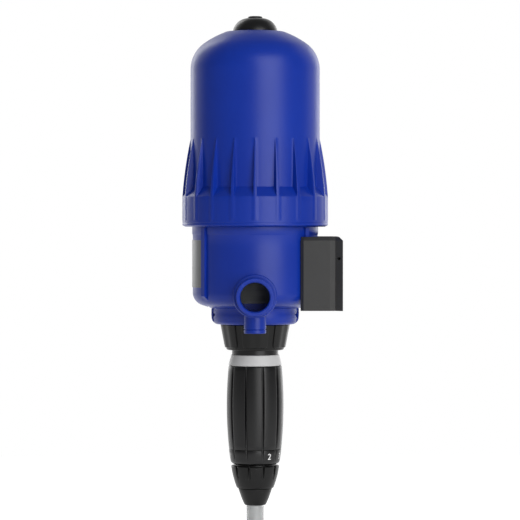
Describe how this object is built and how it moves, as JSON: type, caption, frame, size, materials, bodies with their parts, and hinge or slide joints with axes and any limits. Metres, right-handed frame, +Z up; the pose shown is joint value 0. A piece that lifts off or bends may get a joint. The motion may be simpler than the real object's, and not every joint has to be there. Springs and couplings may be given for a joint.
{
  "type": "water-powered dosing pump",
  "caption": "Water-powered dosing pump: ribbed blue bell over a ported body on a wall bracket, with an adjustable dosing stem and a clear suction hose below.",
  "frame": {"origin": "middle of the bracket's wall face, at the centre of its four screw holes", "axes": "+X towards the wall, +Z up along the pump's axis, -Y the way the outlet port points"},
  "size_m": [0.1149, 0.1554, 0.5653],
  "materials": {
    "blue_plastic": "satin moulded",
    "black_plastic": "satin moulded",
    "bracket_plastic": "matte moulded",
    "grey_plastic": "satin moulded",
    "natural_plastic": "translucent moulded",
    "seal_rubber": "matte",
    "stainless": "drawn",
    "clear_hose": "clear soft vinyl"
  },
  "bodies": {
    "housing": {"bell_housing": "blue_plastic", "lower_body": "blue_plastic", "wall_bracket": "bracket_plastic", "bell_seal": "seal_rubber", "piston_liner": "black_plastic", "liner_seal": "seal_rubber", "bleed_spring": "stainless", "ring_nut": "black_plastic", "dosing_stem": "black_plastic", "stem_seal": "seal_rubber", "retaining_nut": "black_plastic", "valve_gasket": "seal_rubber", "suction_valve_body": "natural_plastic", "check_valve_cap": "natural_plastic", "check_valve_spring": "stainless", "hose_nut": "black_plastic", "suction_hose": "clear_hose", "hose_coil": "clear_hose", "hose_tie": "black_plastic", "foot_strainer": "black_plastic"},
    "bleed_valve": {"bleed_button": "black_plastic", "bleed_stem": "stainless", "bleed_seal": "seal_rubber"},
    "motor_piston": {"piston_body": "black_plastic", "piston_seal": "seal_rubber", "small_piston": "black_plastic", "small_piston_seal": "seal_rubber", "plunger_rod": "stainless", "plunger": "black_plastic", "plunger_seal": "seal_rubber", "valve_cage": "grey_plastic", "pivot_pins": "stainless", "toggle_springs": "stainless"},
    "trip_gear": {"trip_rod": "stainless"},
    "left_rocker": {"rocker_left": "grey_plastic"},
    "right_rocker": {"rocker_right": "grey_plastic"},
    "valve_set": {"valve_carrier": "grey_plastic", "upper_valves": "black_plastic", "lower_valves": "black_plastic"},
    "locking_ring": {"lock_ring": "grey_plastic"},
    "adjuster": {"adjusting_sleeve": "black_plastic", "scale_ring": "black_plastic"},
    "doser": {"dosing_cylinder": "natural_plastic", "cylinder_seal": "seal_rubber"},
    "check_valve": {"check_valve_poppet": "black_plastic"}
  },
  "joints": [
    {"name": "bleed_press", "type": "slide", "parent": "housing", "child": "bleed_valve", "axis": [0, 0, -1], "range_m": [0, 0.003], "stiffness_N_per_m": 600, "deforming": ["bleed_spring"]},
    {"name": "piston_stroke", "type": "slide", "parent": "housing", "child": "motor_piston", "axis": [0, 0, 1], "range_m": [0, 0.04]},
    {"name": "trip_slide", "type": "slide", "parent": "motor_piston", "child": "trip_gear", "axis": [0, 0, -1], "range_m": [0, 0.006]},
    {"name": "left_rocker_pivot", "type": "hinge", "parent": "motor_piston", "child": "left_rocker", "pos_m": [-0.0763, 0, 0.0934], "axis": [0, 1, 0], "range_deg": [0, 24.2]},
    {"name": "right_rocker_pivot", "type": "hinge", "parent": "motor_piston", "child": "right_rocker", "pos_m": [-0.0483, 0, 0.0934], "axis": [0, -1, 0], "range_deg": [0, 24.2]},
    {"name": "valve_slide", "type": "slide", "parent": "motor_piston", "child": "valve_set", "axis": [0, 0, 1], "range_m": [0, 0.004]},
    {"name": "lock_turn", "type": "hinge", "parent": "housing", "child": "locking_ring", "pos_m": [-0.0623, 0, -0.063], "axis": [0, 0, 1], "range_deg": [0, 30]},
    {"name": "dose_turn", "type": "hinge", "parent": "housing", "child": "adjuster", "pos_m": [-0.0623, 0, -0.1], "axis": [0, 0, 1], "range_deg": [0, 288]},
    {"name": "dose_slide", "type": "slide", "parent": "housing", "child": "doser", "axis": [0, 0, 1], "range_m": [0, 0.012]},
    {"name": "check_lift", "type": "slide", "parent": "housing", "child": "check_valve", "axis": [0, 0, 1], "range_m": [0, 0.0025], "stiffness_N_per_m": 60, "deforming": ["check_valve_spring"]}
  ],
  "couplings": [
    {"joint": "trip_slide", "follows": "piston_stroke", "ratio": 0.15},
    {"joint": "left_rocker_pivot", "follows": "piston_stroke", "rad_per_m": 10.554},
    {"joint": "right_rocker_pivot", "follows": "piston_stroke", "rad_per_m": 10.554},
    {"joint": "valve_slide", "follows": "piston_stroke", "ratio": 0.1},
    {"joint": "dose_slide", "follows": "dose_turn", "m_per_rad": 0.0023873}
  ]
}
